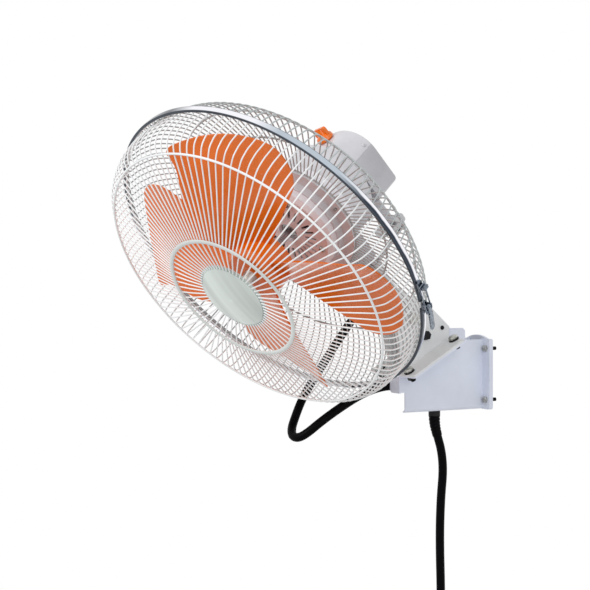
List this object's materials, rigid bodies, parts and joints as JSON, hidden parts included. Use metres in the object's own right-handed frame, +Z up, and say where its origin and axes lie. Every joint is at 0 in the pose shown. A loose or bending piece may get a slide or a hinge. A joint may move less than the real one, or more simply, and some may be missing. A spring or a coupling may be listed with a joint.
{
  "type": "wall mounted fan",
  "caption": "Tilting, oscillating wall mounted fan with a round wire guard, moulded impeller, swivel neck, folded wall bracket and a hanging mains lead.",
  "frame": {"origin": "centre of the stud pattern on the back face of the wall plate", "axes": "+Z up, +Y into the wall, -Y out into the room, X sideways along the wall"},
  "size_m": [0.5077, 0.6233, 0.9324],
  "materials": {
    "guard_wire": "white powder coat on wire",
    "band_chrome": "bright plated strip",
    "impeller_orange": "glossy orange moulding",
    "badge_grey": "glossy pale grey",
    "housing_light": "light lavender-grey enamel",
    "housing_grey": "mid grey enamel",
    "bracket_white": "lavender-white powder coat",
    "yoke_white": "greenish white powder coat",
    "zinc": "zinc plated",
    "steel": "bare machined",
    "lamination": "stacked sheet, varnished",
    "copper": "enamelled copper wire",
    "brass_gear": "machined",
    "black_plastic": "fine matt moulding",
    "pale_plastic": "plain moulding",
    "cord_black": "satin black sheath"
  },
  "bodies": {
    "mount_frame": {"wall_plate": "bracket_white", "wall_bracket": "bracket_white", "wall_bolts": "zinc", "tilt_yoke": "yoke_white", "seat_bolts": "zinc", "seat_washers": "zinc", "seat_nuts": "zinc", "stop_screw": "zinc", "tilt_hinge_bolt": "zinc", "tilt_hinge_nut": "zinc", "junction_box": "pale_plastic", "junction_cover": "pale_plastic", "terminal_block": "black_plastic", "capacitor": "pale_plastic", "cord_gland": "black_plastic", "lead_gland": "black_plastic", "power_lead": "cord_black", "lead_coil": "cord_black", "coil_tie": "black_plastic", "plug_body": "black_plastic", "plug_pins": "steel", "motor_cord": "cord_black"},
    "neck": {"neck_lug": "yoke_white", "neck_tube": "yoke_white", "neck_spindle": "steel", "retaining_ring": "steel", "tilt_lock_bolt": "zinc", "tilt_lock_nut": "zinc", "cord_bush": "black_plastic"},
    "head": {"motor_front_shell": "housing_grey", "motor_rear_shell": "housing_light", "motor_screws": "zinc", "motor_bearings": "steel", "stator_core": "lamination", "stator_windings": "copper", "swivel_bracket": "housing_grey", "swivel_bush": "brass_gear", "gear_case": "housing_grey", "gear_cover": "housing_light", "cover_screws": "zinc", "guard_mount_ring": "housing_light", "guard_screws": "zinc", "rear_guard": "guard_wire", "front_guard": "guard_wire", "centre_badge": "badge_grey", "clamp_band": "band_chrome", "latch_keeper": "band_chrome", "latch_base": "band_chrome"},
    "rotor": {"rotor_shaft": "steel", "rotor_core": "lamination", "worm": "brass_gear", "impeller": "impeller_orange", "impeller_nut": "zinc"},
    "worm_wheel": {"worm_wheel": "brass_gear"},
    "output_gear": {"output_gear": "brass_gear"},
    "crank": {"crank": "steel"},
    "link_rod": {"link_rod": "steel"},
    "clutch_knob": {"clutch_knob": "impeller_orange"},
    "latch_lever": {"latch_lever": "band_chrome"},
    "latch_hook": {"latch_hook": "band_chrome"}
  },
  "joints": [
    {"name": "tilt", "type": "hinge", "parent": "mount_frame", "child": "neck", "pos_m": [0, -0.143, 0.091], "axis": [1, 0, 0], "range_deg": [-37, 3], "deforming": ["motor_cord"]},
    {"name": "swing", "type": "hinge", "parent": "neck", "child": "head", "pos_m": [0, -0.30526, 0.27121], "axis": [0, -0.6691, 0.7431], "range_deg": [-57.6, 32.4]},
    {"name": "rotor_spin", "type": "hinge", "parent": "head", "child": "rotor", "pos_m": [0, -0.30526, 0.27121], "axis": [0.2181, -0.7252, -0.653], "continuous": true},
    {"name": "worm_wheel_spin", "type": "hinge", "parent": "head", "child": "worm_wheel", "pos_m": [-0.03238, -0.25688, 0.31478], "axis": [0, -0.6691, 0.7431], "continuous": true},
    {"name": "output_gear_spin", "type": "hinge", "parent": "head", "child": "output_gear", "pos_m": [-0.0192, -0.24144, 0.32868], "axis": [0, -0.6691, 0.7431], "continuous": true},
    {"name": "crank_turn", "type": "hinge", "parent": "head", "child": "crank", "pos_m": [-0.0192, -0.24144, 0.32868], "axis": [0, -0.6691, 0.7431], "range_deg": [-65, 115.4]},
    {"name": "link_swing", "type": "hinge", "parent": "neck", "child": "link_rod", "pos_m": [0.031, -0.21794, 0.17423], "axis": [0, -0.6691, 0.7431], "range_deg": [-53.2, 30]},
    {"name": "knob_lift", "type": "slide", "parent": "head", "child": "clutch_knob", "axis": [0, -0.6691, 0.7431], "range_m": [0, 0.006]},
    {"name": "latch_open", "type": "hinge", "parent": "head", "child": "latch_lever", "pos_m": [0.25055, -0.27318, 0.11255], "axis": [0.2181, -0.7252, -0.653], "range_deg": [0, 110]},
    {"name": "hook_turn", "type": "hinge", "parent": "latch_lever", "child": "latch_hook", "pos_m": [0.24729, -0.26881, 0.10661], "axis": [0.2181, -0.7252, -0.653], "range_deg": [-110.5, 0.5]}
  ],
  "couplings": [
    {"joint": "worm_wheel_spin", "follows": "rotor_spin", "ratio": 0.041667},
    {"joint": "output_gear_spin", "follows": "rotor_spin", "ratio": -0.016667},
    {"joint": "crank_turn", "follows": "swing", "ratio": -2},
    {"joint": "link_swing", "follows": "swing", "ratio": 0.92},
    {"joint": "hook_turn", "follows": "latch_open", "ratio": -1}
  ]
}
